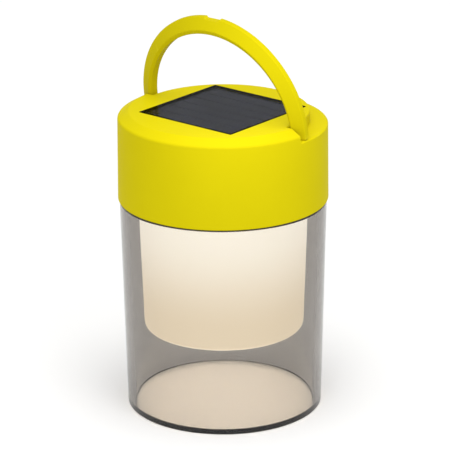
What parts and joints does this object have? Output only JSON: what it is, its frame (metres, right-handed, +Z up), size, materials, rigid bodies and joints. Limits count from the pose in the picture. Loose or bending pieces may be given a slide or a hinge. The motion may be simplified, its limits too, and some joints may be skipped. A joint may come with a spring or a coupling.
{
  "type": "solar lantern",
  "caption": "Round solar lantern: screw-on cap with a square solar panel, folding bail handle and opal diffuser inside a clear smoked jar.",
  "frame": {"origin": "centre of the jar's base, on the surface that the lantern stands on", "axes": "+Z up, along the jar's axis; X along the handle's pivot line; the handle folds towards +Y"},
  "size_m": [0.1304, 0.1304, 0.2499],
  "materials": {
    "smoked_clear_plastic": "clear, lightly brown-smoked moulded plastic, polished",
    "seal_rubber": "dark matt rubber",
    "yellow_plastic": "deep yellow moulded plastic with a fine satin surface",
    "pin_steel": "plain ground steel",
    "screw_steel": "zinc-plated steel",
    "panel_glaze": "clear laminate over dark cells, with a black border",
    "solar_silicon": "dark blue-black silicon",
    "panel_backing": "black board",
    "foam_tape": "black foam tape",
    "white_plastic": "white moulded plastic",
    "opal_plastic": "opal diffusing plastic, lit warm white from inside",
    "nickel_plate": "nickel-plated strip",
    "spring_steel": "nickel-plated spring wire",
    "cell_sleeve": "plain green shrink sleeve with bare metal ends",
    "board_white": "white solder mask",
    "board_green": "green solder mask",
    "led_phosphor": "yellow phosphor in a white frame",
    "black_plastic": "black moulded plastic",
    "ferrite": "dark ferrite",
    "capacitor_sleeve": "dark blue sleeve",
    "wire_red": "red wire jacket",
    "wire_black": "black wire jacket",
    "wire_white": "white wire jacket"
  },
  "bodies": {
    "jar": {"jar": "smoked_clear_plastic"},
    "seal": {"seal_ring": "seal_rubber"},
    "handle": {"handle": "yellow_plastic", "pivot_pin_left": "pin_steel", "pivot_pin_right": "pin_steel"},
    "switch_knob": {"switch_knob": "black_plastic"},
    "battery_door": {"battery_door": "white_plastic"},
    "cap": {"cap_shell": "yellow_plastic", "door_hinge_pin": "pin_steel", "panel_cover": "panel_glaze", "solar_cell_1": "solar_silicon", "solar_cell_2": "solar_silicon", "solar_cell_3": "solar_silicon", "solar_cell_4": "solar_silicon", "solar_cell_5": "solar_silicon", "solar_cell_6": "solar_silicon", "panel_board": "panel_backing", "panel_tape": "foam_tape", "carrier_plate": "white_plastic", "carrier_screw_1": "screw_steel", "carrier_screw_2": "screw_steel", "carrier_screw_3": "screw_steel", "board_screw_1": "screw_steel", "board_screw_2": "screw_steel", "diffuser": "opal_plastic", "contact_negative": "nickel_plate", "contact_positive": "nickel_plate", "battery_spring": "spring_steel", "battery_cell": "cell_sleeve", "led_strip_front": "board_white", "led_strip_rear": "board_white", "led_1": "led_phosphor", "led_2": "led_phosphor", "led_3": "led_phosphor", "led_4": "led_phosphor", "led_5": "led_phosphor", "led_6": "led_phosphor", "switch_body": "black_plastic", "control_board": "board_green", "control_chip": "black_plastic", "inductor": "ferrite", "capacitor": "capacitor_sleeve", "panel_wire_red": "wire_red", "battery_wire_red": "wire_red", "panel_wire_black": "wire_black", "battery_wire_black": "wire_black", "led_wire_front": "wire_white", "led_wire_rear": "wire_white"}
  },
  "joints": [
    {"name": "cap_turn", "type": "hinge", "parent": "jar", "child": "seal", "pos_m": [0, 0, 0.1336], "axis": [0, 0, 1], "range_deg": [0, 105]},
    {"name": "cap_rise", "type": "slide", "parent": "seal", "child": "cap", "axis": [0, 0, 1], "range_m": [0, 0.0035]},
    {"name": "handle_fold", "type": "hinge", "parent": "cap", "child": "handle", "pos_m": [0, 0, 0.1864], "axis": [-1, 0, 0], "range_deg": [0, 99.2]},
    {"name": "switch_slide", "type": "slide", "parent": "cap", "child": "switch_knob", "axis": [1, 0, 0], "range_m": [0, 0.003]},
    {"name": "battery_door_swing", "type": "hinge", "parent": "cap", "child": "battery_door", "pos_m": [0, 0.0094, 0.1368], "axis": [1, 0, 0], "range_deg": [0, 90]}
  ],
  "couplings": [
    {"joint": "cap_rise", "follows": "cap_turn", "m_per_rad": 0.0019098}
  ]
}
